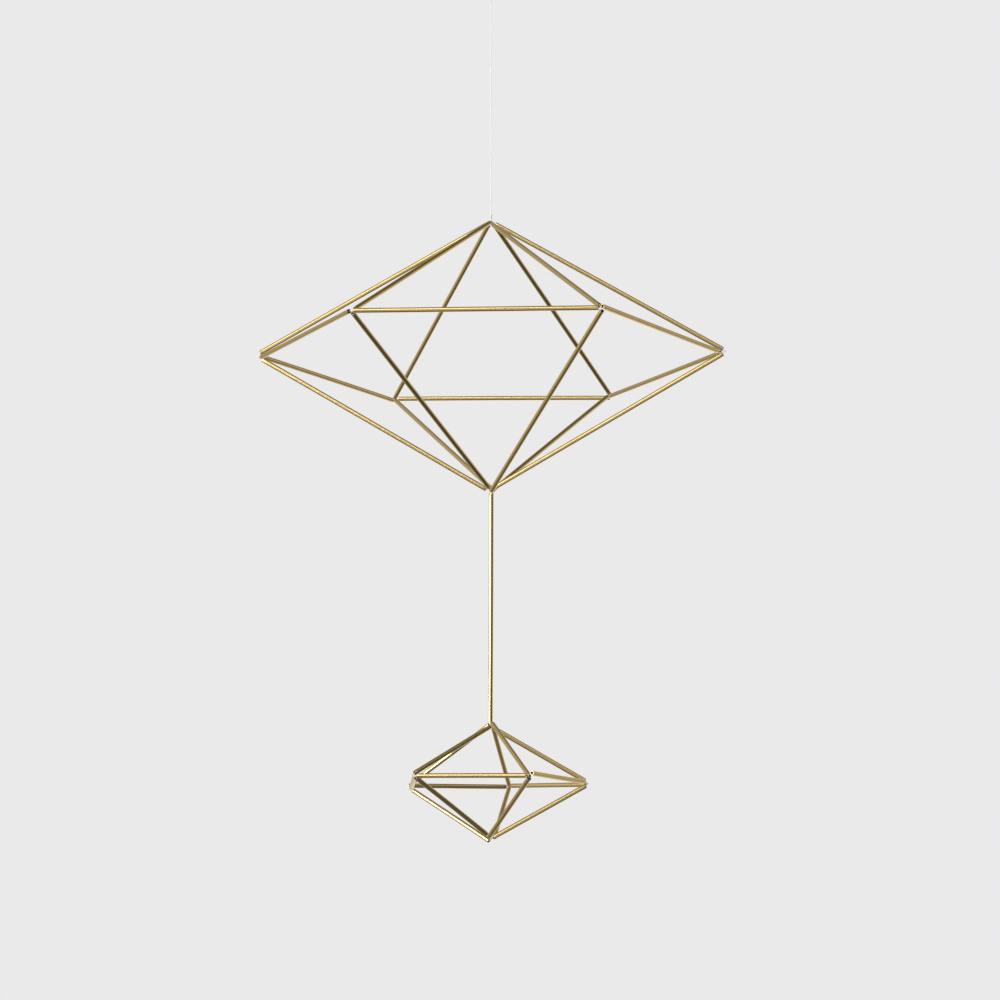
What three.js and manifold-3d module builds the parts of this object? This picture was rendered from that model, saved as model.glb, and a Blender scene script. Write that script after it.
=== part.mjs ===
// A hanging mobile: two openwork double pyramids of thin brass tube, one below the other.
// A fine thread is laced through every tube, and a second thread carries the whole from a loop.
// Millimetres, +Z up. The origin is the inside top of the loop, where a hook would bear.
import * as THREE from "three";
import { mergeVertices } from "three/addons/utils/BufferGeometryUtils.js";
import Module from "manifold-3d";

// The brass tube, cut square at both ends
const tubeDiameter = 2.38;
const tubeWall = 0.36;
const tubeFacets = 16;

// The least space between two tubes where they crowd round a corner
const jointGap = 0.12;

// The upper figure: cut lengths of its tubes, how much longer than the tube each edge between two
// corner points is, and how far the figure is turned about Z.
const upperRingTube = 118;
const upperSlantTube = 136.4;
const upperRingSpare = 3.78;
const upperSlantSpare = 4.87;
const upperTurnDegrees = -3.4;

// Its corners go anticlockwise from +X as seen from above. The laced corners are slack, so each
// sits a little off the true ring: out is how far outside it, and lift how far above. ring names
// the ring tube that runs on to the next corner. A seat says how the ends of a tube lie beside
// their corner points: how far the first end is aside and up, how far the second end is aside
// and up, and how far the tube is drawn towards its second end. The sloping tubes start at the
// top or the bottom point, and a ring tube at its own corner.
const upperCorners = [
  {
    name: "right", out: 0, lift: 0.8, ring: "right_back",
    topSeat: [0.47, 0.24, 1.91, 0.41, 0.2],
    bottomSeat: [-1.85, 0.46, 0.55, -0.39, 0.45],
    ringSeat: [1.36, -0.28, 0.09, 0.08, 2],
  },
  {
    name: "back_right", out: -0.4, lift: -0.1, ring: "back",
    topSeat: [-0.17, 0.71, 1.96, 1.79, 2.46],
    bottomSeat: [-1.18, 0.44, 0.61, 0.89, -1.53],
    ringSeat: [-2.37, -0.74, -0.41, 0.32, -0.69],
  },
  {
    name: "back_left", out: 0, lift: -0.6, ring: "left_back",
    topSeat: [-1.14, 2.24, -0.59, 0.7, 2.17],
    bottomSeat: [-3.02, -0.36, -0.74, -0.29, 0.86],
    ringSeat: [0.6, -0.96, 1.43, 0.29, -0.56],
  },
  {
    name: "left", out: 1.2, lift: 1.3, ring: "left_front",
    topSeat: [-0.4, 0.12, 0.12, 0.35, -0.19],
    bottomSeat: [0.07, -0.19, -1.18, 0.31, -0.59],
    ringSeat: [2.06, -0.76, -0.49, -0.03, 0.83],
  },
  {
    name: "front_left", out: 0, lift: -0.6, ring: "front",
    topSeat: [0.03, 0.01, -0.36, -0.38, -1.57],
    bottomSeat: [0.14, 0.62, -0.53, 0.6, 0.27],
    ringSeat: [-1.43, -0.28, -0.5, -0.07, -0.48],
  },
  {
    name: "front_right", out: -0.4, lift: -0.8, ring: "right_front",
    topSeat: [0.26, -0.63, -1.26, 0.27, 0.22],
    bottomSeat: [-1.68, -2.35, -0.69, -1.07, 1.15],
    ringSeat: [-0.54, 0.25, 2.16, -0.66, -3.88],
  },
];

// The lower figure, given in the same way
const lowerRingTube = 54.3;
const lowerSlantTube = 53.7;
const lowerRingSpare = 4.36;
const lowerSlantSpare = 3.64;
const lowerTurnDegrees = 5.7;
const lowerCorners = [
  {
    name: "right", out: 0, lift: -0.8, ring: "right_back",
    topSeat: [-0.08, -0.25, -1.08, 0.35, -0.37],
    bottomSeat: [-0.47, -0.42, -0.45, -0.19, -0.19],
    ringSeat: [-0.12, -0.33, 1.32, 0.24, 0.38],
  },
  {
    name: "back", out: -0.2, lift: 0.6, ring: "back",
    topSeat: [-0.65, 1.22, 0.94, 0.31, 1.02],
    bottomSeat: [-1.61, -0.88, 0.95, -0.57, 0.37],
    ringSeat: [-2.08, -0.07, -2.13, 0.63, -0.06],
  },
  {
    name: "back_left", out: 0, lift: -0.9, ring: "left",
    topSeat: [-0.18, 0.9, -0.74, 0.25, -1.38],
    bottomSeat: [0.4, -1.49, -1.6, -0.35, -1.75],
    ringSeat: [2.09, -1.15, 0.89, 1.93, -0.15],
  },
  {
    name: "front_left", out: 0.7, lift: 0.9, ring: "front",
    topSeat: [3.13, 0.74, 0.58, 1.1, 1.12],
    bottomSeat: [0, 0.28, 0.06, -0.2, 0.9],
    ringSeat: [-0.65, -0.08, -1.82, -0.44, 0.15],
  },
  {
    name: "front_right", out: -0.4, lift: 0.5, ring: "right_front",
    topSeat: [-0.05, 2.18, -0.21, -1.14, 0.4],
    bottomSeat: [-2.17, -1, -0.98, -1.39, 0.83],
    ringSeat: [-0.81, 0.75, -0.06, 0.77, -2.64],
  },
];

// The tube that hangs between the figures, how much further apart their points are, and its seat
const dropTube = 118.6;
const dropSpare = 2.00;
const dropSeat = [0.26, 0.84, -0.15, 0.38, -0.07];

// The lacing thread and its corner knots
const lacingDiameter = 0.3;
const cornerKnotDiameter = 0.8;
const lacingFacets = 5;
const cornerKnotDetail = 1;
const knotSearchStep = 0.35;
const knotSearchReach = 4.2;
const topKnotRise = 1.8;

// The hanging thread, from the gap over the top corner's knot to the gap under the loop's knot
const threadDiameter = 0.4;
const threadFacets = 8;
const hangingThreadLength = 126.35;
const hangingThreadSteps = 24;
const threadGap = 0.3;

// The loop at its upper end: the inner height and width of the loop, and its knot
const loopHeight = 15;
const loopWidth = 6;
const loopKnotDiameter = 1.5;
const loopKnotHeight = 2.4;
const loopSteps = 40;

const tubeRadius = tubeDiameter / 2;
const boreRadius = tubeRadius - tubeWall;
const threadRadius = threadDiameter / 2;
const lacingRadius = lacingDiameter / 2;
const upAxis = new THREE.Vector3(0, 0, 1);

const brass = { color: 0xb39a58, metalness: 0.95, roughness: 0.36 };
const thread = { color: 0xeeece6, metalness: 0, roughness: 0.6 };

const wasm = await Module();
wasm.setup();

function namedMesh(name, geometry, finish) {
  const mesh = new THREE.Mesh(geometry, new THREE.MeshStandardMaterial(finish));
  mesh.name = name;
  return mesh;
}

// Radius and half height of a double pyramid, from the edges between its corner points
function figureSize(sides, ringEdge, slantEdge) {
  const radius = ringEdge / (2 * Math.sin(Math.PI / sides));
  return { radius, halfHeight: Math.sqrt(slantEdge ** 2 - radius ** 2) };
}

// The corner points of a figure whose ring centre is at a height
function figurePoints(corners, figure, turnDegrees, height) {
  const ring = corners.map((corner, index) => {
    const angle = THREE.MathUtils.degToRad(turnDegrees) + (2 * Math.PI * index) / corners.length;
    const reach = figure.radius + corner.out;
    return new THREE.Vector3(reach * Math.cos(angle), reach * Math.sin(angle), height + corner.lift);
  });
  const top = new THREE.Vector3(0, 0, height + figure.halfHeight);
  const bottom = new THREE.Vector3(0, 0, height - figure.halfHeight);
  return { ring, top, bottom };
}

// A hollow tube of a cut length along +Y, with its middle at the origin
function tubeGeometry(length) {
  const half = length / 2;
  const profile = [
    new THREE.Vector2(boreRadius, -half),
    new THREE.Vector2(tubeRadius, -half),
    new THREE.Vector2(tubeRadius, half),
    new THREE.Vector2(boreRadius, half),
    new THREE.Vector2(boreRadius, -half),
  ];
  return new THREE.LatheGeometry(profile, tubeFacets);
}

// Where a tube lies between two corner points, with its ends in their seats
function seatTube(name, length, from, to, seat) {
  const [firstAside, firstUp, secondAside, secondUp, slide] = seat;
  const line = to.clone().sub(from).normalize();
  const aside = upAxis.clone().cross(line);
  if (aside.length() < 1e-6) aside.set(1, 0, 0);
  aside.normalize();
  const rise = line.clone().cross(aside);
  const first = from.clone().addScaledVector(aside, firstAside).addScaledVector(rise, firstUp);
  const second = to.clone().addScaledVector(aside, secondAside).addScaledVector(rise, secondUp);
  const direction = second.clone().sub(first).normalize();
  const middle = first.add(second).multiplyScalar(0.5).addScaledVector(direction, slide);
  const start = middle.clone().addScaledVector(direction, -length / 2);
  const end = middle.clone().addScaledVector(direction, length / 2);
  return { name, length, direction, middle, start, end };
}

function seatFigure(prefix, corners, points, ringTube, slantTube) {
  return corners.flatMap((corner, index) => {
    const here = points.ring[index];
    const next = points.ring[(index + 1) % corners.length];
    const topName = `${prefix}_top_tube_${corner.name}`;
    const bottomName = `${prefix}_bottom_tube_${corner.name}`;
    const ringName = `${prefix}_ring_tube_${corner.ring}`;
    return [
      seatTube(topName, slantTube, points.top, here, corner.topSeat),
      seatTube(bottomName, slantTube, points.bottom, here, corner.bottomSeat),
      seatTube(ringName, ringTube, here, next, corner.ringSeat),
    ];
  });
}

function tubeMesh(tube) {
  const mesh = namedMesh(tube.name, tubeGeometry(tube.length), brass);
  mesh.position.copy(tube.middle);
  mesh.quaternion.setFromUnitVectors(new THREE.Vector3(0, 1, 0), tube.direction);
  return mesh;
}

// How far a point is from the metal of a tube, or from its bored space too if it counts as
// filled. It is less than 0 inside.
function distanceTo(tube, point, filled) {
  const offset = point.clone().sub(tube.start);
  const along = offset.dot(tube.direction);
  const away = Math.sqrt(Math.max(offset.lengthSq() - along ** 2, 0));
  const beyond = Math.max(-along, along - tube.length);
  const outside = away - tubeRadius;
  const beside = filled ? outside : Math.max(outside, boreRadius - away);
  return beyond > 0 && beside > 0 ? Math.hypot(beyond, beside) : Math.max(beyond, beside);
}

// Points round the outside of a tube near both its ends, where it may touch another
function outerPoints(tube) {
  const across = new THREE.Vector3(0, 0, 1).cross(tube.direction);
  if (across.length() < 1e-6) across.set(1, 0, 0);
  across.normalize();
  const beside = tube.direction.clone().cross(across);
  const points = [];
  for (let turn = 0; turn < 24; turn += 1) {
    const angle = (Math.PI * turn) / 12;
    const out = across.clone().multiplyScalar(tubeRadius * Math.cos(angle));
    out.addScaledVector(beside, tubeRadius * Math.sin(angle));
    for (let depth = 0; depth < 7; depth += 0.35) {
      points.push(tube.start.clone().add(out).addScaledVector(tube.direction, depth));
      points.push(tube.end.clone().add(out).addScaledVector(tube.direction, -depth));
    }
  }
  return points;
}

function endsOf(tube) {
  return [tube.start, tube.end];
}

function nearEachOther(first, second) {
  return endsOf(first).some((point) => endsOf(second).some((other) => point.distanceTo(other) < 14));
}

// True if every two tubes keep the joint gap
function allClear(tubes) {
  return tubes.every((tube) => {
    const others = tubes.filter((other) => other !== tube && nearEachOther(tube, other));
    const points = outerPoints(tube);
    return others.every((other) => points.every((point) => distanceTo(other, point, true) > jointGap));
  });
}

function toSolid(geometry) {
  const bare = geometry.clone();
  bare.deleteAttribute("normal");
  bare.deleteAttribute("uv");
  const merged = mergeVertices(bare, 1e-5);
  const vertProperties = new Float32Array(merged.attributes.position.array);
  const triVerts = new Uint32Array(merged.index.array);
  return new wasm.Manifold(new wasm.Mesh({ numProp: 3, vertProperties, triVerts }));
}

function toGeometry(solid) {
  const mesh = solid.getMesh();
  const geometry = new THREE.BufferGeometry();
  geometry.setAttribute("position", new THREE.BufferAttribute(mesh.vertProperties, 3));
  geometry.setIndex(new THREE.BufferAttribute(mesh.triVerts, 1));
  geometry.computeVertexNormals();
  return geometry;
}

function joined(geometries) {
  const solids = geometries.map(toSolid);
  return toGeometry(solids.reduce((whole, solid) => whole.add(solid)));
}

// The lacing thread through a few points, with a ring of its flat-sided section at each. The
// ring stands square to the line from the point before to the point after.
function threadThrough(points) {
  const last = points.length - 1;
  const corners = [];
  const faces = [];
  const heading = points[1].clone().sub(points[0]).normalize();
  const across = new THREE.Vector3(1, 0, 0).cross(heading);
  if (across.length() < 0.1) across.set(0, 1, 0).cross(heading);
  across.normalize();
  points.forEach((point, index) => {
    const before = points[Math.max(index - 1, 0)];
    const after = points[Math.min(index + 1, last)];
    const direction = after.clone().sub(before).normalize();
    across.applyQuaternion(new THREE.Quaternion().setFromUnitVectors(heading, direction));
    heading.copy(direction);
    for (let facet = 0; facet < lacingFacets; facet += 1) {
      const out = across.clone().applyAxisAngle(direction, (2 * Math.PI * facet) / lacingFacets);
      corners.push(...point.clone().addScaledVector(out, lacingRadius).toArray());
      const here = index * lacingFacets + facet;
      const beside = index * lacingFacets + ((facet + 1) % lacingFacets);
      if (index < last) {
        faces.push(here, beside, beside + lacingFacets, here, beside + lacingFacets, here + lacingFacets);
      }
    }
  });
  const far = last * lacingFacets;
  for (let facet = 1; facet < lacingFacets - 1; facet += 1) {
    faces.push(0, facet + 1, facet, far, far + facet, far + facet + 1);
  }
  const geometry = new THREE.BufferGeometry();
  geometry.setAttribute("position", new THREE.Float32BufferAttribute(corners, 3));
  geometry.setIndex(faces);
  return geometry;
}

// A knot drawn tight round the strands that cross at a point
function knotAt(point, diameter, height, detail) {
  const knot = new THREE.OctahedronGeometry(diameter / 2, detail);
  knot.scale(1, 1, height / diameter);
  return knot.translate(point.x, point.y, point.z);
}

// The free place nearest to a corner point for its knot: clear of every tube, with a clear way
// to it from the mouth of each tube that ends there
function knotPlace(point, mouths, tubes) {
  const near = tubes.filter((tube) => endsOf(tube).some((end) => end.distanceTo(point) < 14));
  const count = Math.round(knotSearchReach / knotSearchStep);
  const places = [];
  for (let x = -count; x <= count; x += 1) {
    for (let y = -count; y <= count; y += 1) {
      for (let z = -count; z <= count; z += 1) {
        places.push(new THREE.Vector3(x, y, z).multiplyScalar(knotSearchStep));
      }
    }
  }
  places.sort((first, second) => first.lengthSq() - second.lengthSq());
  let best = { room: -Infinity, place: point };
  for (const offset of places) {
    const place = point.clone().add(offset);
    const room = roomAt(place, mouths, near);
    if (room > best.room) best = { room, place };
    if (best.room > jointGap) break;
  }
  return best.place;
}

// The least space round a knot and round the strands that run to it
function roomAt(place, mouths, tubes) {
  let room = Math.min(...tubes.map((tube) => distanceTo(tube, place, false) - cornerKnotDiameter / 2));
  for (const mouth of mouths) {
    for (let share = 0.1; share < 0.95 && room > 0; share += 0.1) {
      const point = mouth.clone().lerp(place, share);
      room = Math.min(room, ...tubes.map((tube) => distanceTo(tube, point, false) - lacingRadius));
    }
  }
  return room;
}

// The loop: up one side, round the top and down the other, with both ends inside its knot.
// It is narrow at the knot and widest above the middle, as a taut loop on a hook is.
function loopCurve(knotHeight) {
  const top = threadRadius;
  const span = top - knotHeight;
  const half = loopWidth / 2 + threadRadius;
  const shape = [
    [0, 0],
    [0.35, 0.3],
    [0.85, 0.62],
    [0.9, 0.84],
    [0.5, 0.97],
  ];
  const right = shape.map(([across, up]) => [half * across, knotHeight + span * up]);
  const left = right.map(([x, z]) => [-x, z]).reverse();
  const outline = [...right, [0, top], ...left];
  return new THREE.CatmullRomCurve3(outline.map(([x, z]) => new THREE.Vector3(x, 0, z)));
}

function roundSection(radius, facets) {
  const section = new THREE.Shape();
  for (let index = 0; index < facets; index += 1) {
    const angle = (2 * Math.PI * index) / facets;
    const x = radius * Math.cos(angle);
    const y = radius * Math.sin(angle);
    if (index === 0) section.moveTo(x, y);
    else section.lineTo(x, y);
  }
  section.closePath();
  return section;
}

function threadAlong(curve, steps) {
  const section = roundSection(threadRadius, threadFacets);
  return new THREE.ExtrudeGeometry(section, { steps, extrudePath: curve, bevelEnabled: false });
}

// Heights of the threads, from the loop down to the upper figure's top point
const loopKnotCentre = -loopHeight - loopKnotHeight / 2;
const hangingTop = loopKnotCentre - loopKnotHeight / 2 - threadGap;
const hangingBottom = hangingTop - hangingThreadLength;
const topKnotHeight = hangingBottom - threadGap - cornerKnotDiameter / 2;
const upperTop = topKnotHeight - topKnotRise;

// All corner points and tubes, with each edge made longer by some relief
function layOut(relief) {
  const upperRingEdge = upperRingTube + upperRingSpare + relief;
  const upperSlantEdge = upperSlantTube + upperSlantSpare + relief;
  const lowerRingEdge = lowerRingTube + lowerRingSpare + relief;
  const lowerSlantEdge = lowerSlantTube + lowerSlantSpare + relief;
  const upperSize = figureSize(upperCorners.length, upperRingEdge, upperSlantEdge);
  const lowerSize = figureSize(lowerCorners.length, lowerRingEdge, lowerSlantEdge);
  const upperCentre = upperTop - upperSize.halfHeight;
  const dropTop = upperCentre - upperSize.halfHeight;
  const dropBottom = dropTop - dropTube - dropSpare - 2 * relief;
  const lowerCentre = dropBottom - lowerSize.halfHeight;
  const upper = figurePoints(upperCorners, upperSize, upperTurnDegrees, upperCentre);
  const lower = figurePoints(lowerCorners, lowerSize, lowerTurnDegrees, lowerCentre);
  const drop = seatTube("drop_tube", dropTube, upper.bottom, lower.top, dropSeat);
  const tubes = [
    ...seatFigure("upper", upperCorners, upper, upperRingTube, upperSlantTube),
    drop,
    ...seatFigure("lower", lowerCorners, lower, lowerRingTube, lowerSlantTube),
  ];
  return { upper, lower, tubes };
}

// The figures open up by small steps until no tube presses on another
let relief = 0;
let layout = layOut(relief);
while (!allClear(layout.tubes) && relief < 12) {
  relief += 0.25;
  layout = layOut(relief);
}
const { upper, lower, tubes } = layout;

// The corner points, and the knot of each
const cornerPoints = [upper.top, ...upper.ring, upper.bottom, lower.top, ...lower.ring, lower.bottom];
const cornerAt = (end) => {
  const distances = cornerPoints.map((point) => point.distanceTo(end));
  return distances.indexOf(Math.min(...distances));
};
const knotPlaces = cornerPoints.map((point, corner) => {
  if (point === upper.top) return new THREE.Vector3(0, 0, topKnotHeight);
  return knotPlace(point, tubes.flatMap(endsOf).filter((end) => cornerAt(end) === corner), tubes);
});
const knots = knotPlaces.map((place) => {
  return knotAt(place, cornerKnotDiameter, cornerKnotDiameter, cornerKnotDetail);
});
const threads = tubes.map(({ start, end }) => {
  return threadThrough([knotPlaces[cornerAt(start)], start, end, knotPlaces[cornerAt(end)]]);
});
const lacing = joined([...threads, ...knots]);

const hangingPath = new THREE.LineCurve3(
  upAxis.clone().multiplyScalar(hangingTop),
  upAxis.clone().multiplyScalar(hangingBottom),
);
const loopKnot = knotAt(new THREE.Vector3(0, 0, loopKnotCentre), loopKnotDiameter, loopKnotHeight, 2);
const loop = joined([threadAlong(loopCurve(loopKnotCentre), loopSteps), loopKnot]);

const group = new THREE.Group();
group.add(
  namedMesh("hanging_loop", loop, thread),
  namedMesh("hanging_thread", threadAlong(hangingPath, hangingThreadSteps), thread),
  namedMesh("lacing_thread", lacing, thread),
  ...tubes.map(tubeMesh),
);

export default group;
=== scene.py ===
"""The looks of a hanging mobile: two openwork double pyramids of thin brass tube, laced on thread.

Metres, +Z up. The origin is the inside top of the loop that the mobile hangs from, and -Y is the
side that the camera looks at. Every tube, thread and knot is a surface worked out from the frame.
"""

import logging
import math
from dataclasses import dataclass, field
from enum import Enum

import bpy
import numpy as np
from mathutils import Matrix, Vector
from numpy.typing import NDArray


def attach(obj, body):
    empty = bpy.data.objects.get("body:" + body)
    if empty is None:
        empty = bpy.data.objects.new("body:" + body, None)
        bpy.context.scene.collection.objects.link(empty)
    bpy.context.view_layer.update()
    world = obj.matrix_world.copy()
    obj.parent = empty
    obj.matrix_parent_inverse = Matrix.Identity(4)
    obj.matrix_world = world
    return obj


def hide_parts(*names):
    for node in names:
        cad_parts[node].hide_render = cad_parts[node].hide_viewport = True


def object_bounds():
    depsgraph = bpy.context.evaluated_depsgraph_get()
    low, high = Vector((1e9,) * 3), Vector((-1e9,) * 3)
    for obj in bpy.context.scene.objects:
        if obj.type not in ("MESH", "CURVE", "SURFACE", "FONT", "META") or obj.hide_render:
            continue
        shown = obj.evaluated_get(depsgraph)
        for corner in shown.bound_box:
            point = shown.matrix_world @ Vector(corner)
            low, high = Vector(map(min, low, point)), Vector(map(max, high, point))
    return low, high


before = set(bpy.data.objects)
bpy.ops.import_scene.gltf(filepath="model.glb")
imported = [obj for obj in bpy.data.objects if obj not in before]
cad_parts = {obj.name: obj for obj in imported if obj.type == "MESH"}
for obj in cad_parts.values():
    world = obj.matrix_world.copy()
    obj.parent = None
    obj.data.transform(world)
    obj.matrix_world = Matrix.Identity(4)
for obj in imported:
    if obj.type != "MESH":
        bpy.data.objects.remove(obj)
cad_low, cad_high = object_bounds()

Array = NDArray[np.float64]
log = logging.getLogger("hanging_mobile")

MM = 0.001
BODY = "root"


class Slot(Enum):
    """The record's material slots."""

    BRASS = "brass_tube"
    THREAD = "thread"


class Zone(Enum):
    """The attributes that tell the brass finish which part of a tube it is on."""

    # Share of the rounded cut rim, where the brass gets painted shade.
    RIM = "painted_rim_shade"
    # Share of the bore, where the brass gets painted shade and more roughness.
    BORE = "bore_depth"
    TONE = "tube_tone"


def unit(vectors: Array) -> Array:
    """Vectors divided by their own length, along the last axis."""
    return vectors / np.linalg.norm(vectors, axis=-1, keepdims=True)


def turned(vectors: Array, axes: Array, angles: Array) -> Array:
    """Vectors turned about unit axes.

    Rodrigues' formula: v cos a + (k x v) sin a + k (k . v) (1 - cos a).

    Args:
        vectors: The vectors, one a row.
        axes: The unit axes, one a row.
        angles: The angles in radians, one for each row.

    Returns:
        The turned vectors.
    """
    cosine = np.cos(angles)[:, None]
    sine = np.sin(angles)[:, None]
    along = np.sum(axes * vectors, axis=1, keepdims=True) * axes
    return vectors * cosine + np.cross(axes, vectors) * sine + along * (1 - cosine)


def path_frames(path: Array) -> tuple[Array, Array, Array]:
    """Tangents, and the two normals of a frame that follows a path without twisting about it.

    Each tangent is the difference of the neighbouring points. The first guess at a normal is the
    coordinate axis that lies least along the tangent, made square to it. The angle by which that
    guess turns from one point to the next, over what carrying it along would give, is summed up
    along the path and taken back out.

    Args:
        path: The points of an open path, one a row.

    Returns:
        Tangents, first normals and second normals, one a row.
    """
    tangents = unit(np.gradient(path, axis=0))
    least = np.argmin(np.abs(tangents), axis=1)
    guess = np.eye(3)[least]
    guess = unit(guess - np.sum(guess * tangents, axis=1, keepdims=True) * tangents)
    turn_axes = np.cross(tangents[:-1], tangents[1:])
    sines = np.linalg.norm(turn_axes, axis=1)
    cosines = np.clip(np.sum(tangents[:-1] * tangents[1:], axis=1), -1, 1)
    turn_axes = turn_axes / np.maximum(sines, 1e-12)[:, None]
    carried = turned(guess[:-1], turn_axes, np.arctan2(sines, cosines))
    beside = np.cross(tangents[1:], carried)
    slip = np.arctan2(np.sum(guess[1:] * beside, axis=1), np.sum(guess[1:] * carried, axis=1))
    total = np.concatenate([[0.0], np.cumsum(slip)])
    first = turned(guess, tangents, -total)
    return tangents, first, np.cross(tangents, first)


def smooth_path(points: Array, steps: int) -> Array:
    """A Catmull-Rom curve through points, with each end point doubled.

    Between two points the curve is the cubic whose ends are the points, and whose slope at each is
    half the way from the point before it to the point after it.

    Args:
        points: The points that the curve passes through, one a row.
        steps: Steps from each point to the next.

    Returns:
        The points of the curve, one a row.
    """
    padded = np.vstack([2 * points[0] - points[1], points, 2 * points[-1] - points[-2]])
    before, here, after, beyond = padded[:-3], padded[1:-2], padded[2:-1], padded[3:]
    t = (np.arange(steps) / steps)[None, :, None]
    powers = [
        here[:, None],
        (after - before)[:, None] * t / 2,
        (2 * before - 5 * here + 4 * after - beyond)[:, None] * t**2 / 2,
        (3 * here - before - 3 * after + beyond)[:, None] * t**3 / 2,
    ]
    curve = sum(powers).reshape(-1, 3)
    return np.vstack([curve, points[-1:]])


def evenly_stepped(path: Array, step: float) -> Array:
    """A path with its points moved along it, so that each is the same distance after the last."""
    lengths = np.concatenate([[0.0], np.cumsum(np.linalg.norm(np.diff(path, axis=0), axis=1))])
    count = max(2, round(lengths[-1] / step) + 1)
    wanted = np.linspace(0, lengths[-1], count)
    return np.column_stack([np.interp(wanted, lengths, path[:, axis]) for axis in range(3)])


def grid_faces(rows: int, columns: int, close_rows: bool) -> NDArray[np.int64]:
    """Faces of a grid of points whose columns run round, one row after another.

    Each face joins a point to the next in its row and to the two beside them in the next row.

    Args:
        rows: How many rows the grid has.
        columns: How many points each row has. The last joins the first.
        close_rows: True if the last row also joins the first.

    Returns:
        Four point numbers a face.
    """
    row = np.arange(rows if close_rows else rows - 1)[:, None]
    column = np.arange(columns)[None, :]
    next_row = (row + 1) % rows
    next_column = (column + 1) % columns
    corners = [
        row * columns + column,
        row * columns + next_column,
        next_row * columns + next_column,
        next_row * columns + column,
    ]
    return np.stack(corners, axis=-1).reshape(-1, 4)


@dataclass
class Surface:
    """A surface before it becomes a mesh: points, faces, and values on them."""

    points: Array
    faces: list[NDArray[np.int64]]
    uv: list[Array] = field(default_factory=list)
    values: dict[str, Array] = field(default_factory=dict)

    def to_object(self, name: str, material: bpy.types.Material) -> bpy.types.Object:
        """Makes the mesh and its object, at the origin.

        Args:
            name: The piece's name.
            material: Its finish.

        Returns:
            The object, linked to the scene.
        """
        sizes = np.concatenate([np.full(len(part), part.shape[1]) for part in self.faces])
        loops = np.concatenate([part.ravel() for part in self.faces])
        starts = np.concatenate([[0], np.cumsum(sizes)[:-1]])
        mesh = bpy.data.meshes.new(name)
        mesh.vertices.add(len(self.points))
        mesh.vertices.foreach_set("co", self.points.astype(np.float32).ravel())
        mesh.loops.add(len(loops))
        mesh.loops.foreach_set("vertex_index", loops.astype(np.int32))
        mesh.polygons.add(len(sizes))
        mesh.polygons.foreach_set("loop_start", starts.astype(np.int32))
        mesh.update(calc_edges=True)
        mesh.validate()
        mesh.polygons.foreach_set("use_smooth", np.ones(len(sizes), bool))
        if self.uv:
            layer = mesh.uv_layers.new(name="length_round")
            layer.data.foreach_set("uv", np.concatenate(self.uv).astype(np.float32).ravel())
        for key, values in self.values.items():
            attribute = mesh.attributes.new(key, "FLOAT", "POINT")
            attribute.data.foreach_set("value", values.astype(np.float32))
        mesh.materials.append(material)
        made = bpy.data.objects.new(name, mesh)
        bpy.context.scene.collection.objects.link(made)
        return made


def merged(parts: list[Surface]) -> Surface:
    """Several surfaces as one, their points numbered on from each other.

    Args:
        parts: The surfaces. Each has UV values, and the same kinds of values on points.

    Returns:
        One surface that holds them all.
    """
    offsets = np.concatenate([[0], np.cumsum([len(part.points) for part in parts])[:-1]])
    faces = [face + offset for part, offset in zip(parts, offsets) for face in part.faces]
    keys = parts[0].values
    return Surface(
        points=np.vstack([part.points for part in parts]),
        faces=faces,
        uv=[layer for part in parts for layer in part.uv],
        values={key: np.concatenate([part.values[key] for part in parts]) for key in keys},
    )


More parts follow.
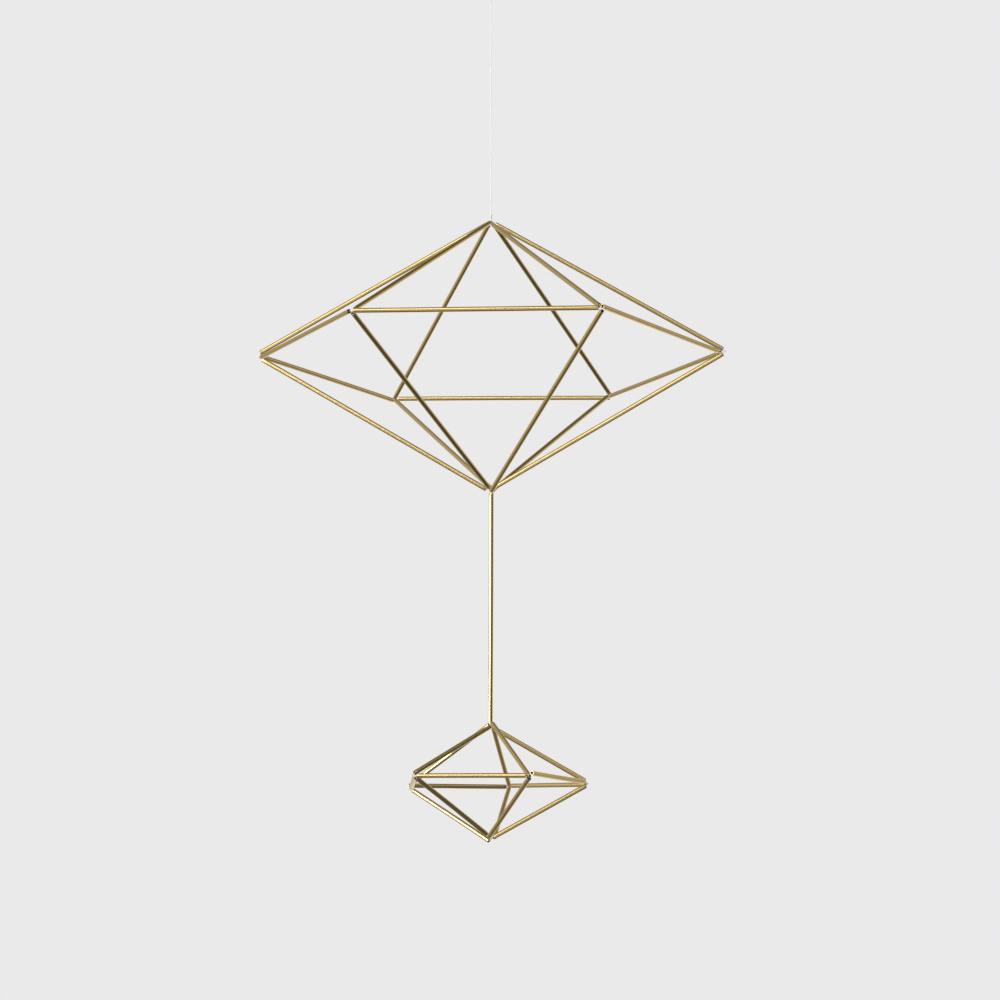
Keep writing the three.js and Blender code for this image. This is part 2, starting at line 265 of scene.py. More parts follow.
@dataclass(frozen=True)
class Yarn:
    """Twisted thread: strands that lie round each other and show as lobes of its section."""

    diameter: float = 0.4 * MM
    strands: int = 3
    groove: float = 0.16
    lay_per_ring: float = math.radians(15)
    sides: int = 12
    tip_degrees: tuple[float, ...] = (72, 48, 24)

    def swept(self, path: Array) -> Surface:
        """The thread along a path, closed at both ends.

        A ring stands square to the path at each of its points. Its radius is the thread's, less
        the groove's share where the cosine of (strands x (angle - twist)) is low. The twist grows
        by the same angle from ring to ring. A few more rings at each end shrink on a quarter
        circle to a pole, so the end is round.

        Args:
            path: The points of the centre line, one a row.

        Returns:
            The closed surface.
        """
        tangents, first, second = path_frames(path)
        radius = self.diameter / 2
        tip = np.radians(self.tip_degrees)
        tips = len(tip)
        count = len(path)
        centre = np.vstack([
            path[0] - radius * np.sin(tip)[:, None] * tangents[0],
            path,
            path[-1] + radius * np.sin(tip[::-1])[:, None] * tangents[-1],
        ])
        index = np.concatenate([np.zeros(tips, int), np.arange(count), np.full(tips, count - 1)])
        shrink = np.concatenate([np.cos(tip), np.ones(count), np.cos(tip[::-1])])
        angle = np.arange(self.sides) * 2 * math.pi / self.sides
        twist = self.lay_per_ring * np.arange(len(centre))[:, None]
        lobes = np.cos(self.strands * (angle[None, :] - twist))
        reach = radius * shrink[:, None] * (1 - self.groove * (0.5 - 0.5 * lobes))
        across = first[index][:, None] * (reach * np.cos(angle))[..., None]
        upward = second[index][:, None] * (reach * np.sin(angle))[..., None]
        rings = (centre[:, None] + across + upward).reshape(-1, 3)
        poles = np.vstack([path[0] - radius * tangents[0], path[-1] + radius * tangents[-1]])
        rows = len(centre)
        walls = grid_faces(rows, self.sides, close_rows=False)
        around = np.arange(self.sides)
        onward = (around + 1) % self.sides
        low_pole = np.full(self.sides, rows * self.sides)
        last = (rows - 1) * self.sides
        low_cap = np.column_stack([low_pole, onward, around])
        high_cap = np.column_stack([low_pole + 1, last + around, last + onward])
        travel = np.concatenate([[0.0], np.cumsum(np.linalg.norm(np.diff(centre, axis=0), axis=1))])
        row_of = walls // self.sides
        column_of = walls % self.sides
        seam = column_of[:, [1, 2]] == 0
        turn = column_of / self.sides
        turn[:, [1, 2]] = np.where(seam, 1.0, turn[:, [1, 2]])
        wall_uv = np.stack([turn, travel[row_of]], axis=-1).reshape(-1, 2)
        cap_uv = np.zeros((2 * self.sides * 3, 2))
        cap_uv[self.sides * 3 :, 1] = travel[-1]
        return Surface(np.vstack([rings, poles]), [walls, low_cap, high_cap], [wall_uv, cap_uv])


def node_points(name: str) -> Array:
    """The different points of a node of the frame, one a row."""
    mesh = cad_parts[name].data
    flat = np.empty(len(mesh.vertices) * 3)
    mesh.vertices.foreach_get("co", flat)
    return np.unique(flat.reshape(-1, 3).round(7), axis=0)


@dataclass(frozen=True)
class TubeEnds:
    """Where one straight tube of the frame lies."""

    name: str
    start: Array
    end: Array
    outer: float
    bore: float

    @classmethod
    def of_node(cls, name: str) -> "TubeEnds":
        """Reads a tube's axis and radii from its node in the frame.

        Its centre is the middle of its points' box, and its axis the direction in which they
        spread most. The radii are the greatest and least distance from the axis.

        Args:
            name: The node's name.

        Returns:
            The tube's place and size.
        """
        points = node_points(name)
        centre = (points.min(axis=0) + points.max(axis=0)) / 2
        axis = np.linalg.svd(points - points.mean(axis=0), full_matrices=False)[2][0]
        along = (points - centre) @ axis
        away = np.linalg.norm(points - centre - along[:, None] * axis, axis=1)
        low, high = centre + along.min() * axis, centre + along.max() * axis
        return cls(name, low, high, away.max(), away.min())

    @property
    def direction(self) -> Array:
        """The unit vector from start to end."""
        return unit(self.end - self.start)

    @property
    def length(self) -> float:
        """The cut length."""
        return float(np.linalg.norm(self.end - self.start))


@dataclass
class BrassTubes:
    """The straight brass tubes, each cut square by a wheel that turns its rim in a little.

    They are left out of each other's reflections, which only speckle at this size.
    """

    material: bpy.types.Material
    sides: int = 56
    wall_rings: int = 22
    rim_round: float = 0.07 * MM
    rim_rings: int = 4
    neck_depth: float = 0.05 * MM
    neck_length: float = 0.8 * MM
    bow: float = 0.12 * MM
    seed: int = 7

    def profile(self, tube: TubeEnds) -> tuple[Array, Array, Array, Array]:
        """The closed outline of half a tube's length section.

        It runs along the outer wall, round the far rim, back along the bore and round the near
        rim. Each rim has two quarter circles. Towards an end the outer wall necks in by
        depth x exp(-distance / (neck length / 2)), as a tubing cutter leaves it.

        Args:
            tube: The tube's place and size.

        Returns:
            Distance along, radius, share of cut rim, and share of bore, at each outline point.
        """
        length, outer, bore, soft = tube.length, tube.outer, tube.bore, self.rim_round
        ease = 0.5 - 0.5 * np.cos(np.linspace(0, math.pi, self.wall_rings))
        wall = soft + (length - 2 * soft) * (0.8 * ease + 0.2 * np.linspace(0, 1, self.wall_rings))
        quarter = np.linspace(0, math.pi / 2, self.rim_rings + 2)[1:-1]
        outward, inward = soft * np.sin(quarter), soft * np.cos(quarter)
        far_outer = (length - soft + outward, outer - soft + inward)
        far_inner = (length - soft + inward, bore + soft - outward)
        near_inner = (soft - outward, bore + soft - inward)
        near_outer = (soft - inward, outer - soft + outward)
        back = wall[::-1]
        runs = [
            (wall, np.full(len(wall), outer), 0.0, 0.0),
            (*far_outer, 1.0, 0.0),
            (*far_inner, 1.0, 0.4),
            (back, np.full(len(back), bore), 0.0, 1.0),
            (*near_inner, 1.0, 0.4),
            (*near_outer, 1.0, 0.0),
        ]
        along = np.concatenate([run[0] for run in runs])
        radius = np.concatenate([run[1] for run in runs])
        rim = np.concatenate([np.full(len(run[0]), run[2]) for run in runs])
        inside = np.concatenate([np.full(len(run[0]), run[3]) for run in runs])
        to_end = np.minimum(along, length - along)
        neck = self.neck_depth * np.exp(-np.maximum(to_end, 0) / (self.neck_length / 2))
        return along, radius - neck, rim, inside

    def surface(self, tube: TubeEnds, tone: float, bow_angle: float) -> Surface:
        """One tube: its outline turned about an axis that bows a hair's breadth in the middle.

        A point is start + along x direction + radius x (cos a, sin a) across, and the axis is
        moved sideways by bow x sin(pi x along / length).

        Args:
            tube: The tube's place and size.
            tone: How far its brass has darkened, from 0 to 1.
            bow_angle: Which way it bows.

        Returns:
            The closed surface, with its UV and its zones.
        """
        along, radius, rim, inside = self.profile(tube)
        axis = tube.direction
        across = unit(np.cross(axis, np.eye(3)[np.argmin(np.abs(axis))]))
        beside = np.cross(axis, across)
        angle = np.arange(self.sides) * 2 * math.pi / self.sides
        ring = np.cos(angle)[:, None] * across + np.sin(angle)[:, None] * beside
        sway = self.bow * np.sin(math.pi * np.clip(along / tube.length, 0, 1))
        side = math.cos(bow_angle) * across + math.sin(bow_angle) * beside
        centre = tube.start + along[:, None] * axis + sway[:, None] * side
        points = (centre[:, None] + radius[:, None, None] * ring[None]).reshape(-1, 3)
        faces = grid_faces(len(along), self.sides, close_rows=True)
        row_of, column_of = faces // self.sides, faces % self.sides
        turn = column_of / self.sides
        turn[:, [1, 2]] = np.where(column_of[:, [1, 2]] == 0, 1.0, turn[:, [1, 2]])
        girth = 2 * math.pi * tube.outer
        uv = np.stack([turn * girth, along[row_of]], axis=-1).reshape(-1, 2)
        values = {
            Zone.RIM.value: np.repeat(rim, self.sides),
            Zone.BORE.value: np.repeat(inside, self.sides),
            Zone.TONE.value: np.full(len(points), tone),
        }
        return Surface(points, [faces], [uv], values)

    def build(self, tubes: list[TubeEnds]) -> None:
        """Makes each tube in place of its node."""
        chance = np.random.default_rng(self.seed)
        for tube in tubes:
            tone, bow_angle = chance.uniform(0, 1), chance.uniform(0, 2 * math.pi)
            surface = self.surface(tube, tone, bow_angle)
            piece = surface.to_object(f"{tube.name}_brass", self.material)
            piece.visible_glossy = False
            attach(piece, BODY)
            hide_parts(tube.name)
            log.info("%s: brass tube %.1f mm long", piece.name, tube.length / MM)


@dataclass
class Corner:
    """A point where tubes meet, and the tube ends that meet there."""

    place: Array
    mouths: list[tuple[int, int]]


@dataclass
class Lacing:
    """One thread through every tube, hitched once about the other strands at each corner."""

    material: bpy.types.Material
    yarn: Yarn = field(default_factory=lambda: Yarn(diameter=0.28 * MM))
    knot_reach: float = 1.5 * MM
    strand_reach: float = 0.25 * MM
    hitch_radius: float = 0.16 * MM
    hitch_pitch: float = 0.24 * MM
    hitch_sink: float = 0.15
    hitch_points: int = 9
    hitch_lead: float = 0.35
    hitch_tilt: float = 0.5
    tail_tilt: float = 0.4
    mouth_lean: float = 0.42 * MM
    inside_points: tuple[float, ...] = (0.9 * MM, 3.5 * MM, 9 * MM)
    fine_step: float = 0.11 * MM
    tail: float = 1.2 * MM
    seed: int = 9

    def corners(self, tubes: list[TubeEnds]) -> list[Corner]:
        """Finds the knots of the frame's lacing, and the tube ends that each of them serves.

        A strand of the frame's lacing has points only at the tubes' mouths, so all its other
        points lie on knots. A tube end belongs to the nearest knot. The corner's place is drawn
        from the knot towards the mean of its tube ends by the share hitch_sink.

        Args:
            tubes: All the tubes.

        Returns:
            The corners, each with its tube ends as (tube number, end number).
        """
        ends = np.array([[tube.start, tube.end] for tube in tubes]).reshape(-1, 3)
        points = node_points("lacing_thread")
        to_mouth = np.linalg.norm(points[:, None] - ends[None], axis=2).min(axis=1)
        points = points[to_mouth > self.strand_reach]
        places = []
        while len(points):
            near = np.linalg.norm(points - points[0], axis=1) < self.knot_reach
            places.append((points[near].min(axis=0) + points[near].max(axis=0)) / 2)
            points = points[~near]
        nearest = np.linalg.norm(ends[:, None] - np.array(places)[None], axis=2).argmin(axis=1)
        found = []
        for number, place in enumerate(places):
            served = np.flatnonzero(nearest == number)
            sunk = place + self.hitch_sink * (ends[served].mean(axis=0) - place)
            found.append(Corner(sunk, [(int(end) // 2, int(end) % 2) for end in served]))
        return found

    def walk(self, corners: list[Corner]) -> list[tuple[int, int]]:
        """An unbroken way through every tube once, from one odd corner to the other.

        It goes on to a tube not yet laced for as long as there is one, and fills in the rounds
        that it missed on the way back.

        Args:
            corners: The corners with their tube ends.

        Returns:
            (tube number, end by which the thread enters it), in order.
        """
        at = {mouth: number for number, corner in enumerate(corners) for mouth in corner.mouths}
        free = {number: list(corner.mouths) for number, corner in enumerate(corners)}
        odd = [number for number, corner in enumerate(corners) if len(corner.mouths) % 2]
        start = max(odd, key=lambda number: corners[number].place[2])
        stack: list[tuple[int, tuple[int, int] | None]] = [(start, None)]
        order = []
        while stack:
            number, entered = stack[-1]
            if not free[number]:
                order.append(entered)
                stack.pop()
                continue
            mouth = free[number].pop(0)
            far = (mouth[0], 1 - mouth[1])
            free[at[far]].remove(far)
            stack.append((at[far], mouth))
        return [mouth for mouth in reversed(order) if mouth is not None]

    def mouth_points(self, tube: TubeEnds, end: int, lean: Array) -> Array:
        """Points from inside a tube out to its mouth, where the thread leans on the rim.

        The lean is a vector square to the tube, and fades with the share of the way inside.

        Args:
            tube: The tube.
            end: 0 for its start, 1 for its end.
            lean: Which way the thread leans.

        Returns:
            The points, from the deepest to the mouth.
        """
        mouth = tube.end if end else tube.start
        inward = -tube.direction if end else tube.direction
        square = lean - (lean @ inward) * inward
        size = np.linalg.norm(square)
        square = square / size if size > 1e-9 else square
        deep = np.array(self.inside_points[::-1])
        fade = 1 - deep / deep[0]
        inside = mouth + deep[:, None] * inward + (self.mouth_lean * fade)[:, None] * square
        return np.vstack([inside, mouth + self.mouth_lean * square])

    def hitch(self, centre: Array, come: Array, leave: Array, roll: float) -> Array:
        """One turn and the way on, about a corner's centre.

        The angle runs from the side that the thread comes from, once round, and on to the side
        that it leaves by. The radius stays the same and the height over the plane climbs by a
        pitch in each turn, so that strands lie beside each other.

        Args:
            centre: The corner's point.
            come: Where the thread comes from.
            leave: Where it goes on to.
            roll: Extra tilt of the turn's plane, which differs from pass to pass.

        Returns:
            The points of the turn.
        """
        across = unit(come - centre)
        onward = unit(leave - centre)
        normal = np.cross(across, onward)
        size = np.linalg.norm(normal)
        spare = np.cross(across, np.eye(3)[np.argmin(np.abs(across))])
        normal = normal / size if size > 0.05 else unit(spare)
        normal = turned(normal[None], across[None], np.array([roll]))[0]
        upward = np.cross(normal, across)
        final = math.atan2(onward @ upward, onward @ across) % (2 * math.pi)
        sweep = final + 2 * math.pi if final < math.pi else final
        angle = np.linspace(self.hitch_lead, sweep - self.hitch_lead, self.hitch_points)[:, None]
        climb = self.hitch_pitch * (angle / (2 * math.pi) - sweep / (4 * math.pi))
        ring = np.cos(angle) * across + np.sin(angle) * upward
        return centre + self.hitch_radius * ring + climb * normal

    def route(self, tubes: list[TubeEnds], corners: list[Corner]) -> Array:
        """The thread's centre line, from its first tied end to its last.

        Args:
            tubes: All the tubes.
            corners: The corners with their tube ends.

        Returns:
            The points, fine near the corners and wide apart inside the tubes.
        """
        at = {mouth: corner for corner in corners for mouth in corner.mouths}
        way = self.walk(corners)
        chance = np.random.default_rng(self.seed)
        first, last = way[0], (way[-1][0], 1 - way[-1][1])
        stretches = [self.tied_end(tubes, at[first], first)[::-1]]
        for (tube, entered), (next_tube, next_entered) in zip(way[:-1], way[1:]):
            left = 1 - entered
            corner = at[(tube, left)]
            come = tubes[tube].end if left else tubes[tube].start
            leave = tubes[next_tube].end if next_entered else tubes[next_tube].start
            inner = self.mouth_points(tubes[tube], left, leave - come)
            outer = self.mouth_points(tubes[next_tube], next_entered, come - leave)
            roll = chance.uniform(-self.hitch_tilt, self.hitch_tilt)
            turn = self.hitch(corner.place, come, leave, roll)
            stretches.append(np.vstack([inner, turn, outer[::-1]]))
        stretches.append(self.tied_end(tubes, at[last], last))
        fine = [evenly_stepped(smooth_path(points, 12), self.fine_step) for points in stretches]
        return np.vstack(fine)

    def tied_end(self, tubes: list[TubeEnds], corner: Corner, mouth: tuple[int, int]) -> Array:
        """The thread out of its last tube, hitched about the corner, with a short cut tail.

        Args:
            tubes: All the tubes.
            corner: The corner where the thread ends.
            mouth: The tube end that it comes out of.

        Returns:
            The points, from inside the tube to the tip of the tail.
        """
        tube = tubes[mouth[0]]
        come = tube.end if mouth[1] else tube.start
        aside = unit(np.cross(come - corner.place, np.array([0.0, 0.6, 0.8])))
        inner = self.mouth_points(tube, mouth[1], aside)
        turn = self.hitch(corner.place, come, corner.place + aside, self.tail_tilt)
        tip = turn[-1] + self.tail * unit(aside + np.array([0.0, 0.3, -0.2]))
        return np.vstack([inner, turn, tip])

    def build(self, tubes: list[TubeEnds]) -> bpy.types.Object:
        """Makes the lacing in place of its node.

        Args:
            tubes: All the tubes.

        Returns:
            The piece.
        """
        route = self.route(tubes, self.corners(tubes))
        piece = self.yarn.swept(route).to_object("lacing_thread_twisted", self.material)
        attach(piece, BODY)
        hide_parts("lacing_thread")
        length = np.linalg.norm(np.diff(route, axis=0), axis=1).sum()
        log.info("%s: one thread, %.2f m long", piece.name, length)
        return piece


@dataclass
class Hanging:
    """The thread that carries the mobile, tied on at the top corner, and the loop above it."""

    material: bpy.types.Material
    yarn: Yarn = field(default_factory=Yarn)
    top: float = -17.7 * MM
    bottom: float = -144.05 * MM
    step: float = 0.12 * MM
    route_points: int = 17
    eye_height: float = 1.5 * MM
    eye_width: float = 0.9 * MM
    knot_wraps: float = 3.0
    knot_radius: float = 0.34 * MM
    knot_rise: float = 1.4 * MM
    knot_height: float = 1.6 * MM
    eye_rise: float = 0.8 * MM
    hidden_ends: tuple[float, float] = (-0.2 * MM, 0.6 * MM)
    loop_height: float = 15 * MM
    loop_width: float = 6 * MM
    loop_knot_height: float = 2.4 * MM
    loop_tail: float = 4 * MM

    def wound_knot(self, middle: float, height: float) -> Array:
        """Wraps drawn tight about an upright thread.

        A helix: (r cos a, r sin a, z), whose radius grows from half and shrinks back to half at
        its ends, where the thread tucks in.

        Args:
            middle: The height of the knot's middle.
            height: From its lowest wrap to its highest.

        Returns:
            The points of the centre line.
        """
        share = np.linspace(0, 1, 60)
        angle = 2 * math.pi * self.knot_wraps * share
        radius = self.knot_radius * (0.55 + 0.45 * np.sin(math.pi * share) ** 0.4)
        rise = middle + (share - 0.5) * (height - self.yarn.diameter)
        return np.column_stack([radius * np.cos(angle), radius * np.sin(angle), rise])

    def eye(self, top: float) -> Array:
        """The small eye under the lower knot, round the lacing of the top corner."""
        share = np.linspace(0, 1, 40)
        angle = 2 * math.pi * share
        across = 0.5 * self.eye_width * np.sin(angle)
        drop = top - self.eye_height * (0.5 - 0.5 * np.cos(angle))
        return np.column_stack([across * 0.35, across, drop])

    def loop(self) -> Array:
        """The loop: up one side, round the top and down the other, with both ends in its knot."""
        half_thread = self.yarn.diameter / 2
        knot = -self.loop_height - self.loop_knot_height / 2
        half = self.loop_width / 2 + half_thread
        shape = np.array([[0, 0], [0.35, 0.3], [0.85, 0.62], [0.9, 0.84], [0.5, 0.97]])
        scale = np.array([half, half_thread - knot])
        right = shape * scale + np.array([0, knot])
        left = right[::-1] * np.array([-1, 1])
        outline = np.vstack([right, [[0, half_thread]], left])
        points = np.column_stack([outline[:, 0], np.zeros(len(outline)), outline[:, 1]])
        return evenly_stepped(smooth_path(points, 16), self.step)

    def build(self) -> bpy.types.Object:
        """Returns:
            The hanging thread's piece.
        """
        heights = np.linspace(self.bottom, self.top, self.route_points)
        route = np.column_stack([np.zeros((len(heights), 2)), heights])
        below, above = self.hidden_ends
        rise = route[[0, -1]] + np.array([[0, 0, below], [0, 0, above]])
        knot = self.wound_knot(self.bottom + self.knot_rise, self.knot_height)
        eye = self.eye(self.bottom + self.eye_rise)
        parts = [self.yarn.swept(evenly_stepped(path, self.step)) for path in (rise, knot, eye)]
        thread = merged(parts).to_object("hanging_thread_twisted", self.material)
        loop = self.build_loop()
        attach(thread, BODY)
        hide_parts("hanging_thread")
        log.info("%s: %.0f mm, taut", thread.name, (self.top - self.bottom) / MM)
        return thread

    def build_loop(self) -> bpy.types.Object:
        """Makes the loop with its wound knot and cut tail.

        Returns:
            The loop's piece.
        """
        middle = -self.loop_height - self.loop_knot_height / 2
        tail = np.array([
            [0.1 * MM, 0.2 * MM, middle],
            [0.5 * MM, 0.5 * MM, middle - 1.2 * MM],
            [1.1 * MM, 0.7 * MM, middle - 2.4 * MM],
            [1.5 * MM, 0.6 * MM, middle - self.loop_tail],
        ])
        paths = [self.loop(), self.wound_knot(middle, self.loop_knot_height), smooth_path(tail, 8)]
        parts = [self.yarn.swept(evenly_stepped(path, self.step)) for path in paths]
        loop = merged(parts).to_object("hanging_loop_tied", self.material)
        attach(loop, BODY)
        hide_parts("hanging_loop")
        log.info("%s: %.0f mm high", loop.name, self.loop_height / MM)
        return loop


class NodeKit:
    """Short ways to add and link shader nodes in one tree."""

    def __init__(self, tree: bpy.types.NodeTree) -> None:
        """Keeps the tree and empties it."""
        self.tree = tree
        tree.nodes.clear()

    def add(self, kind: str, **settings: object) -> bpy.types.Node:
        """Adds a node and sets its properties by name."""
        node = self.tree.nodes.new(kind)
        for key, value in settings.items():
            setattr(node, key, value)
        return node

    def feed(self, node: bpy.types.Node, name: str | int, value: object) -> None:
        """Sets an input to a plain value, or links an output into it."""
        if isinstance(value, bpy.types.NodeSocket):
            self.tree.links.new(value, node.inputs[name])
        else:
            node.inputs[name].default_value = value

    def math(self, operation: str, *values: object) -> bpy.types.NodeSocket:
        """A Math node's result."""
        node = self.add("ShaderNodeMath", operation=operation)
        for index, value in enumerate(values):
            self.feed(node, index, value)
        return node.outputs[0]

    def noise(self, vector: object, scale: float, detail: float, rough: float = 0.5) -> object:
        """A noise value from 0 to 1."""
        node = self.add("ShaderNodeTexNoise")
        self.feed(node, "Vector", vector)
        self.feed(node, "Scale", scale)
        self.feed(node, "Detail", detail)
        self.feed(node, "Roughness", rough)
        return node.outputs[0]

    def spread(self, value: object, low: float, high: float, start: float, end: float) -> object:
        """A value carried from one range to another, held at its ends."""
        node = self.add("ShaderNodeMapRange", clamp=True)
        for name, number in zip(("Value", "From Min", "From Max", "To Min", "To Max"),
                                (value, low, high, start, end)):
            self.feed(node, name, number)
        return node.outputs[0]

    def mix(self, share: object, first: object, second: object) -> bpy.types.NodeSocket:
        """Two colours mixed by a share."""
        node = self.add("ShaderNodeMix", data_type="RGBA")
        self.feed(node, 0, share)
        self.feed(node, 6, first)
        self.feed(node, 7, second)
        return node.outputs[2]

    def attribute(self, zone: Zone) -> bpy.types.NodeSocket:
        """A value stored on the mesh."""
        return self.add("ShaderNodeAttribute", attribute_name=zone.value).outputs["Fac"]


def new_material(name: str) -> tuple[bpy.types.Material, NodeKit]:
    material = bpy.data.materials.new(name)
    material.use_nodes = True
    return material, NodeKit(material.node_tree)


@dataclass(frozen=True)
class SatinBrass:
    """Drawn brass tube dulled with handling: satin, streaked lengthwise, with painted shade
    darkening its cut rims and its bore.
    """

    bright: tuple[float, float, float, float] = (0.93, 0.68, 0.285, 1)
    dulled: tuple[float, float, float, float] = (0.82, 0.59, 0.225, 1)
    spotted: tuple[float, float, float, float] = (0.42, 0.26, 0.10, 1)
    # Painted shade: dull dark brass on the rounded cut ends, standing in for the shade at the
    # tubes' mouths.
    painted_rim_shade: tuple[float, float, float, float] = (0.42, 0.30, 0.13, 1)
    # Painted shade: near black inside the bore, where shade falls in the tube.
    bore: tuple[float, float, float, float] = (0.05, 0.032, 0.014, 1)
    smooth: float = 0.22
    matt: float = 0.30

    def build(self) -> bpy.types.Material:
        """Makes the material.

        Returns:
            The satin brass material.
        """
        material, kit = new_material("satin_brass")
        place = kit.add("ShaderNodeTexCoord").outputs["Object"]
        lengthwise = kit.add("ShaderNodeMapping")
        kit.feed(lengthwise, "Vector", kit.add("ShaderNodeTexCoord").outputs["UV"])
        kit.feed(lengthwise, "Scale", (1.0, 0.02, 1.0))
        streaks = kit.noise(lengthwise.outputs[0], 6500, 4, 0.6)
        bands = kit.noise(place, 34, 3)
        blotches = kit.noise(place, 210, 4, 0.62)
        spots = kit.noise(place, 900, 2)
        tone = kit.attribute(Zone.TONE)
        dulling = kit.math("MULTIPLY", tone, 0.5)
        dulling = kit.math("ADD", kit.spread(bands, 0.35, 0.7, 0, 0.6), dulling)
        dulling = kit.math("ADD", dulling, kit.spread(blotches, 0.45, 0.75, -0.15, 0.3))
        colour = kit.mix(kit.spread(dulling, 0, 1.1, 0, 1), self.bright, self.dulled)
        patches = kit.spread(blotches, 0.56, 0.7, 0, 1)
        spotting = kit.math("MULTIPLY", patches, kit.spread(spots, 0.5, 0.66, 0, 0.25))
        colour = kit.mix(spotting, colour, self.spotted)
        colour = kit.mix(kit.spread(streaks, 0.35, 0.7, 0, 0.07), colour, self.spotted)
        # Painted shade on the cut rims of the tube ends.
        colour = kit.mix(kit.math("MULTIPLY", kit.attribute(Zone.RIM), 0.8), colour, self.painted_rim_shade)
        # Painted shade inside the bore.
        colour = kit.mix(kit.attribute(Zone.BORE), colour, self.bore)
        gloss = kit.spread(dulling, 0, 1.1, self.smooth, self.matt)
        gloss = kit.math("ADD", gloss, kit.spread(streaks, 0.3, 0.7, -0.02, 0.03))
        gloss = kit.math("ADD", gloss, kit.math("MULTIPLY", kit.attribute(Zone.BORE), 0.3))
        shader = kit.add("ShaderNodeBsdfPrincipled")
        kit.feed(shader, "Base Color", colour)
        kit.feed(shader, "Metallic", 1.0)
        kit.feed(shader, "Roughness", gloss)
        kit.feed(kit.add("ShaderNodeOutputMaterial"), "Surface", shader.outputs[0])
        return material


@dataclass(frozen=True)
class PaleThread:
    """White twisted thread with a soft sheen, faintly grey in fine streaks of its fibres and in
    soft soiled patches.
    """

    white: tuple[float, float, float, float] = (0.93, 0.925, 0.91, 1)
    grey: tuple[float, float, float, float] = (0.83, 0.82, 0.79, 1)
    roughness: float = 0.45
    fibre_depth: float = 0.02 * MM

    def build(self) -> bpy.types.Material:
        """Makes the material.

        Returns:
            The thread's material.
        """
        material, kit = new_material("pale_thread")
        place = kit.add("ShaderNodeMapping")
        kit.feed(place, "Vector", kit.add("ShaderNodeTexCoord").outputs["UV"])
        kit.feed(place, "Scale", (14.0, 1600.0, 1.0))
        fibres = kit.noise(place.outputs[0], 1.0, 3, 0.6)
        soiling = kit.noise(kit.add("ShaderNodeTexCoord").outputs["Object"], 160, 2)
        share = kit.spread(soiling, 0.4, 0.75, 0, 0.35)
        share = kit.math("ADD", share, kit.spread(fibres, 0.35, 0.7, 0, 0.4))
        bump = kit.add("ShaderNodeBump")
        kit.feed(bump, "Strength", 0.6)
        kit.feed(bump, "Distance", self.fibre_depth)
        kit.feed(bump, "Height", fibres)
        shader = kit.add("ShaderNodeBsdfPrincipled")
        kit.feed(shader, "Base Color", kit.mix(share, self.white, self.grey))
        kit.feed(shader, "Roughness", self.roughness)
        kit.feed(shader, "Sheen Weight", 0.25)
        kit.feed(shader, "Normal", bump.outputs[0])
        kit.feed(kit.add("ShaderNodeOutputMaterial"), "Surface", shader.outputs[0])
        return material


@dataclass(frozen=True)
class SoftGlow:
    """A soft bright stretch of the studio: a direction in degrees, a tightness and a strength."""

    azimuth: float
    elevation: float
    tightness: float
    strength: float

    @property
    def direction(self) -> tuple[float, float, float]:
        """The unit vector towards it.

        Azimuth 0 is the camera's side, and a positive one is to the right.
        """
        turn, rise = math.radians(self.azimuth), math.radians(self.elevation)
        return (
            math.sin(turn) * math.cos(rise),
            -math.cos(turn) * math.cos(rise),
            math.sin(rise),
        )


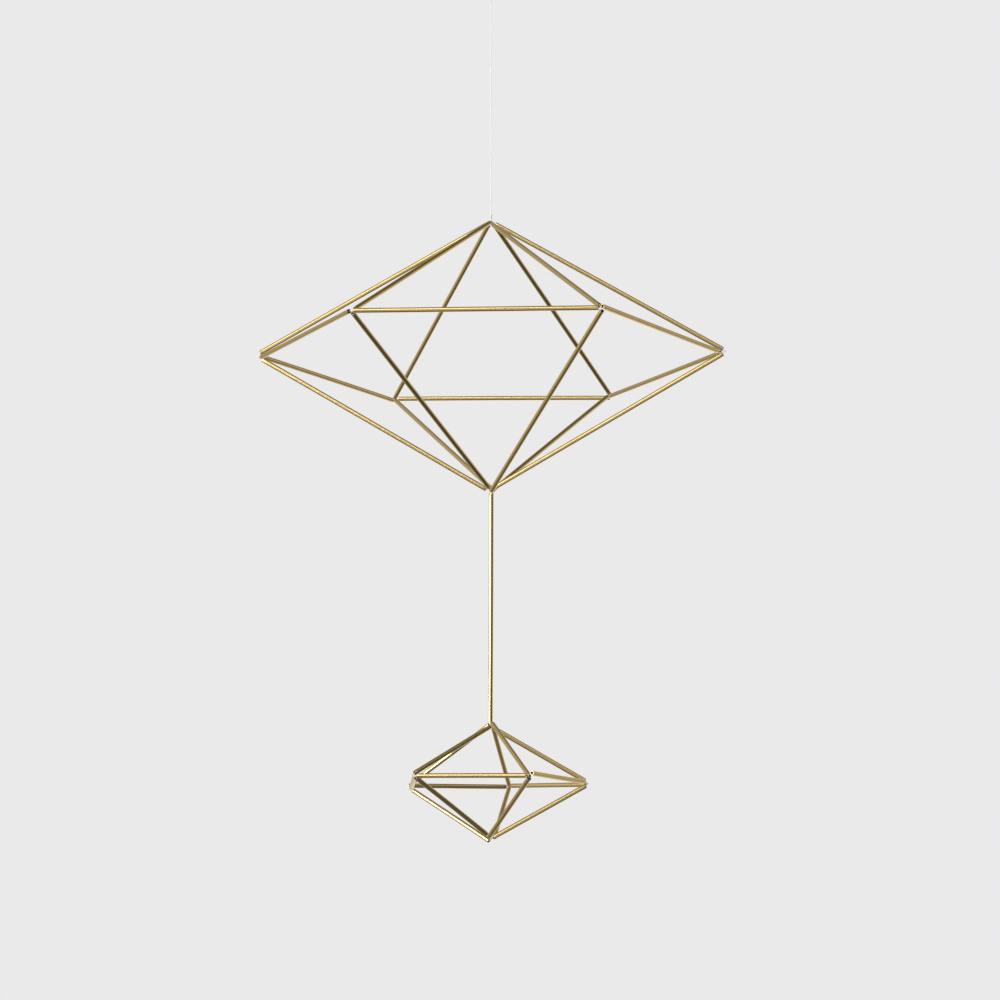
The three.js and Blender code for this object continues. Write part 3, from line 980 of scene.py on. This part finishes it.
@dataclass
class Studio:
    """The camera, the pale floor and surroundings, and the soft light."""

    focal_length: float = 97.19
    camera_place: tuple[float, float, float] = (0.00474, -1.36978, -0.52471)
    camera_pitch: float = 9.554
    pale: float = 0.822
    floor_drop: float = 0.40
    floor_radius: float = 6.0
    floor_sides: int = 96
    base: float = 0.008
    key: SoftGlow = SoftGlow(-52.7, -3.5, 29.7, 11.5)
    key_distance: float = 2.0
    glows: tuple[SoftGlow, ...] = (
        SoftGlow(-15.4, 28.5, 48, 6.0),
        SoftGlow(105.5, 6.0, 40, 0.95),
        SoftGlow(165.7, -3.3, 4.5, 1.35),
        SoftGlow(36.3, 38.3, 28, 1.5),
        SoftGlow(-77.0, 17.2, 1.97, 0.82),
        SoftGlow(14.3, -34.3, 13, 1.2),
    )

    def place_camera(self) -> None:
        """Puts the camera where the photograph was taken from."""
        data = bpy.data.cameras.new("camera")
        data.lens = self.focal_length
        data.sensor_width = 36.0
        data.clip_start = 0.01
        data.clip_end = 50.0
        camera = bpy.data.objects.new("camera", data)
        camera.location = self.camera_place
        camera.rotation_euler = (math.radians(90 + self.camera_pitch), 0, 0)
        bpy.context.scene.collection.objects.link(camera)
        bpy.context.scene.camera = camera

    def lay_floor(self) -> None:
        """Lays a round pale floor below, of the same even brightness as the surroundings."""
        angle = np.linspace(0, 2 * math.pi, self.floor_sides, endpoint=False)
        height = np.full(self.floor_sides, cad_low[2] - self.floor_drop)
        reach = self.floor_radius
        rim = np.column_stack([reach * np.cos(angle), reach * np.sin(angle), height])
        material, kit = new_material("pale_floor")
        glow = kit.add("ShaderNodeEmission")
        kit.feed(glow, "Color", (self.pale, self.pale, self.pale, 1))
        kit.feed(kit.add("ShaderNodeOutputMaterial"), "Surface", glow.outputs[0])
        face = np.arange(self.floor_sides)[None, :]
        floor = Surface(rim, [face]).to_object("floor", material)
        floor.visible_glossy = False
        floor.visible_diffuse = False

    def hang_softbox(self) -> None:
        """Hangs the key light: a round softbox that gives what a glow of its strength would.

        The glow's light over all directions is 2 pi strength / tightness. The disc fills the cone
        over which the glow keeps a quarter of its strength, and its power is 4 x area x radiance.
        """
        towards = np.array(self.key.direction)
        cone = math.acos(1 - math.log(4) / self.key.tightness)
        radius = self.key_distance * math.tan(cone)
        solid_angle = 2 * math.pi * (1 - math.cos(cone))
        radiance = 2 * math.pi * self.key.strength / self.key.tightness / solid_angle
        data = bpy.data.lights.new("softbox", "AREA")
        data.shape = "DISK"
        data.size = 2 * radius
        data.energy = 4 * math.pi * radius**2 * radiance
        softbox = bpy.data.objects.new("softbox", data)
        centre = np.array([0, 0, (cad_low[2] + cad_high[2]) / 2])
        softbox.location = centre + self.key_distance * towards
        softbox.rotation_euler = Vector(towards).to_track_quat("Z", "Y").to_euler()
        softbox.visible_camera = False
        bpy.context.scene.collection.objects.link(softbox)

    def light(self) -> None:
        """Lights the mobile from all round by soft glows, before an even pale background.

        Along a direction d the light is base + sum(strength x exp(tightness x (d . g - 1))) over
        the glows' directions g.
        """
        world = bpy.data.worlds.new("studio")
        world.use_nodes = True
        bpy.context.scene.world = world
        kit = NodeKit(world.node_tree)
        direction = kit.add("ShaderNodeTexCoord").outputs["Generated"]
        total: object = self.base
        for glow in self.glows:
            dot = kit.add("ShaderNodeVectorMath", operation="DOT_PRODUCT")
            kit.feed(dot, 0, direction)
            kit.feed(dot, 1, glow.direction)
            fall = kit.math("SUBTRACT", dot.outputs["Value"], 1.0)
            fall = kit.math("EXPONENT", kit.math("MULTIPLY", fall, glow.tightness))
            part = kit.math("MULTIPLY", fall, glow.strength)
            total = kit.math("ADD", part, total)
        around = kit.add("ShaderNodeBackground")
        kit.feed(around, "Strength", total)
        behind = kit.add("ShaderNodeBackground")
        kit.feed(behind, "Color", (self.pale, self.pale, self.pale, 1))
        seen = kit.add("ShaderNodeLightPath").outputs["Is Camera Ray"]
        both = kit.add("ShaderNodeMixShader")
        kit.feed(both, 0, seen)
        kit.feed(both, 1, around.outputs[0])
        kit.feed(both, 2, behind.outputs[0])
        kit.feed(kit.add("ShaderNodeOutputWorld"), "Surface", both.outputs[0])
        bpy.context.scene.view_settings.view_transform = "Standard"


def main() -> None:
    """Places the camera, builds the threads and the tubes, then lays the floor and lights the
    studio.
    """
    logging.basicConfig(level=logging.INFO, format="%(name)s: %(message)s")
    studio = Studio()
    studio.place_camera()
    thread = PaleThread().build()
    Hanging(thread).build()
    names = sorted(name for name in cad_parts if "_tube" in name)
    tubes = [TubeEnds.of_node(name) for name in names]
    Lacing(thread).build(tubes)
    BrassTubes(SatinBrass().build()).build(tubes)
    studio.lay_floor()
    studio.hang_softbox()
    studio.light()


if __name__ == "__main__":
    main()
